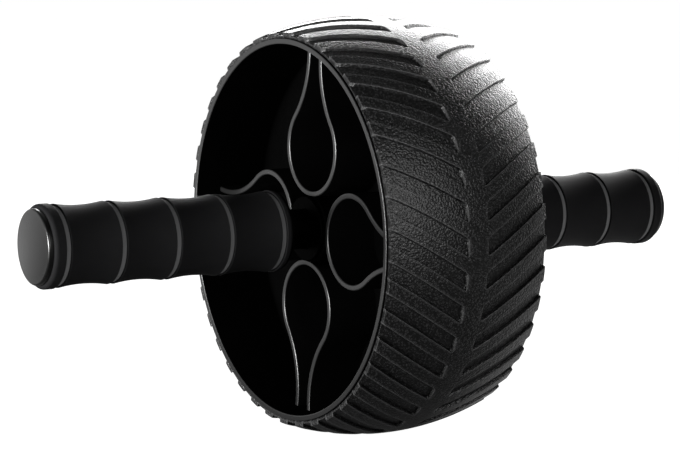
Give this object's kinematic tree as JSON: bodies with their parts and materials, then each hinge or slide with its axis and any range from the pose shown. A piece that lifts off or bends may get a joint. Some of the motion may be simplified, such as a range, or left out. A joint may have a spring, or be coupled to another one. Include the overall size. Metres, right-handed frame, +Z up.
{
  "type": "ab wheel roller",
  "caption": "Wide crowned rubber-tread wheel on ball bearings, spinning freely on an axle between two ribbed finger grips with end caps.",
  "frame": {"origin": "centre of the wheel, on the axle's axis", "axes": "+Y along the axle towards the right handle, +Z up, +X the way the wheel rolls"},
  "size_m": [0.2004, 0.345, 0.2004],
  "materials": {
    "tread_rubber": "stippled matte rubber",
    "wheel_plastic": "satin moulded",
    "grip_rubber": "matte soft-touch",
    "core_plastic": "satin moulded",
    "cap_plastic": "gloss",
    "axle_steel": "drawn bar",
    "screw_steel": "zinc plated",
    "black_steel": "black oxide",
    "bearing_steel": "ground",
    "cage_steel": "pressed",
    "seal_rubber": "matte"
  },
  "bodies": {
    "handlebar": {"axle": "axle_steel", "spacer_sleeve": "axle_steel", "left_collar": "core_plastic", "left_handle_core": "core_plastic", "left_grip": "grip_rubber", "left_end_cap": "cap_plastic", "left_axle_screw": "screw_steel", "left_washer": "screw_steel", "left_inner_race": "bearing_steel", "right_collar": "core_plastic", "right_handle_core": "core_plastic", "right_grip": "grip_rubber", "right_end_cap": "cap_plastic", "right_axle_screw": "screw_steel", "right_washer": "screw_steel", "right_inner_race": "bearing_steel"},
    "wheel": {"tyre": "tread_rubber", "wheel_screws": "black_steel", "wheel_nuts": "black_steel", "left_wheel_half": "wheel_plastic", "left_spoke_loops": "wheel_plastic", "left_outer_race": "bearing_steel", "left_seals": "seal_rubber", "right_wheel_half": "wheel_plastic", "right_spoke_loops": "wheel_plastic", "right_outer_race": "bearing_steel", "right_seals": "seal_rubber"},
    "left_cage": {"left_balls": "bearing_steel", "left_ball_cage": "cage_steel"},
    "right_cage": {"right_balls": "bearing_steel", "right_ball_cage": "cage_steel"}
  },
  "joints": [
    {"name": "wheel_spin", "type": "hinge", "parent": "handlebar", "child": "wheel", "pos_m": [0, 0, 0], "axis": [0, 1, 0], "continuous": true},
    {"name": "left_cage_spin", "type": "hinge", "parent": "handlebar", "child": "left_cage", "pos_m": [0, -0.0259, 0], "axis": [0, 1, 0], "continuous": true},
    {"name": "right_cage_spin", "type": "hinge", "parent": "handlebar", "child": "right_cage", "pos_m": [0, 0.0259, 0], "axis": [0, 1, 0], "continuous": true}
  ],
  "couplings": [
    {"joint": "left_cage_spin", "follows": "wheel_spin", "ratio": 0.59722},
    {"joint": "right_cage_spin", "follows": "wheel_spin", "ratio": 0.59722}
  ]
}
